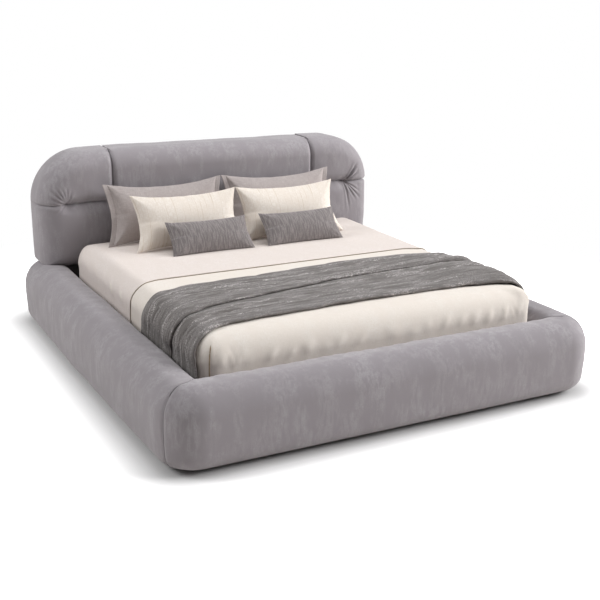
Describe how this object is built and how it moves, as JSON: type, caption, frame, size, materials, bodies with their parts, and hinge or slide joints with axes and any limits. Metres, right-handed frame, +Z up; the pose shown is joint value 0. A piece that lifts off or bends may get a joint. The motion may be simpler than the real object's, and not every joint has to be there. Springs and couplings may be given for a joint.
{
  "type": "upholstered bed",
  "caption": "Low double bed with fat rounded padded rails, a padded headboard with two tufted wings, and a made-up mattress with pillows and a throw.",
  "frame": {"origin": "on the floor, under the centre of the bounding box", "axes": "+Z up, +Y from the foot of the bed towards the headboard, +X to the right of someone standing at the foot and facing the headboard"},
  "size_m": [2.45, 2.66, 1.1075],
  "materials": {
    "grey_velvet": "matte",
    "foam": "matte",
    "plywood": "matte",
    "pine": "matte",
    "bracket_steel": "satin",
    "zinc_steel": "satin",
    "black_plastic": "matte",
    "mattress": "matte",
    "cream_linen": "matte",
    "blush_linen": "matte",
    "charcoal_weave": "matte",
    "taupe_linen": "matte",
    "slub_linen": "matte",
    "grey_slub": "matte",
    "filling": "matte"
  },
  "bodies": {
    "bed_frame": {"centre_beam": "pine", "centre_beam_shoes": "bracket_steel", "centre_leg_glides": "black_plastic", "centre_legs": "pine", "centre_slat_holders": "black_plastic", "corner_bolts": "zinc_steel", "corner_brackets": "bracket_steel", "foot_rail_cover": "grey_velvet", "foot_rail_frame": "plywood", "foot_rail_pad": "foam", "head_rail_cover": "grey_velvet", "head_rail_frame": "plywood", "head_rail_pad": "foam", "headboard_back_board": "plywood", "headboard_back_cover": "grey_velvet", "headboard_back_pad": "foam", "headboard_bolts": "zinc_steel", "headboard_centre_cover": "grey_velvet", "headboard_centre_pad": "foam", "headboard_crossbars": "plywood", "headboard_front_board": "plywood", "headboard_left_wing_cover": "grey_velvet", "headboard_left_wing_pad": "foam", "headboard_right_wing_cover": "grey_velvet", "headboard_right_wing_pad": "foam", "headboard_struts": "pine", "headboard_uprights": "plywood", "ledge_screws": "zinc_steel", "left_rail_cover": "grey_velvet", "left_rail_frame": "plywood", "left_rail_pad": "foam", "rail_feet": "black_plastic", "right_rail_cover": "grey_velvet", "right_rail_frame": "plywood", "right_rail_pad": "foam", "shoe_screws": "zinc_steel", "slat_holders_left": "black_plastic", "slat_holders_right": "black_plastic", "slat_ledge_left": "pine", "slat_ledge_right": "pine", "slats_left": "pine", "slats_right": "pine"},
    "mattress": {"mattress_core": "mattress", "fitted_sheet": "cream_linen", "top_sheet": "blush_linen"},
    "throw": {"throw_blanket": "charcoal_weave"},
    "sham_left": {"sham_left_cover": "taupe_linen", "sham_left_insert": "filling"},
    "sham_right": {"sham_right_cover": "taupe_linen", "sham_right_insert": "filling"},
    "cream_pillow_left": {"cream_pillow_left_cover": "slub_linen", "cream_pillow_left_insert": "filling"},
    "cream_pillow_right": {"cream_pillow_right_cover": "slub_linen", "cream_pillow_right_insert": "filling"},
    "lumbar_left": {"lumbar_left_cover": "grey_slub", "lumbar_left_insert": "filling"},
    "lumbar_right": {"lumbar_right_cover": "grey_slub", "lumbar_right_insert": "filling"}
  },
  "joints": [
    {"name": "mattress_lift", "type": "slide", "parent": "bed_frame", "child": "mattress", "axis": [0, 0, 1], "range_m": [0, 0.3]},
    {"name": "throw_lift", "type": "slide", "parent": "mattress", "child": "throw", "axis": [0, 0, 1], "range_m": [0, 0.25]},
    {"name": "sham_left_lift", "type": "slide", "parent": "mattress", "child": "sham_left", "axis": [0, 0, 1], "range_m": [0, 0.3]},
    {"name": "cream_pillow_left_lift", "type": "slide", "parent": "sham_left", "child": "cream_pillow_left", "axis": [0, -0.6, 0.8], "range_m": [0, 0.25]},
    {"name": "lumbar_left_lift", "type": "slide", "parent": "cream_pillow_left", "child": "lumbar_left", "axis": [0, -0.6, 0.8], "range_m": [0, 0.25]},
    {"name": "sham_right_lift", "type": "slide", "parent": "mattress", "child": "sham_right", "axis": [0, 0, 1], "range_m": [0, 0.3]},
    {"name": "cream_pillow_right_lift", "type": "slide", "parent": "sham_right", "child": "cream_pillow_right", "axis": [0, -0.6, 0.8], "range_m": [0, 0.25]},
    {"name": "lumbar_right_lift", "type": "slide", "parent": "cream_pillow_right", "child": "lumbar_right", "axis": [0, -0.6, 0.8], "range_m": [0, 0.25]}
  ]
}
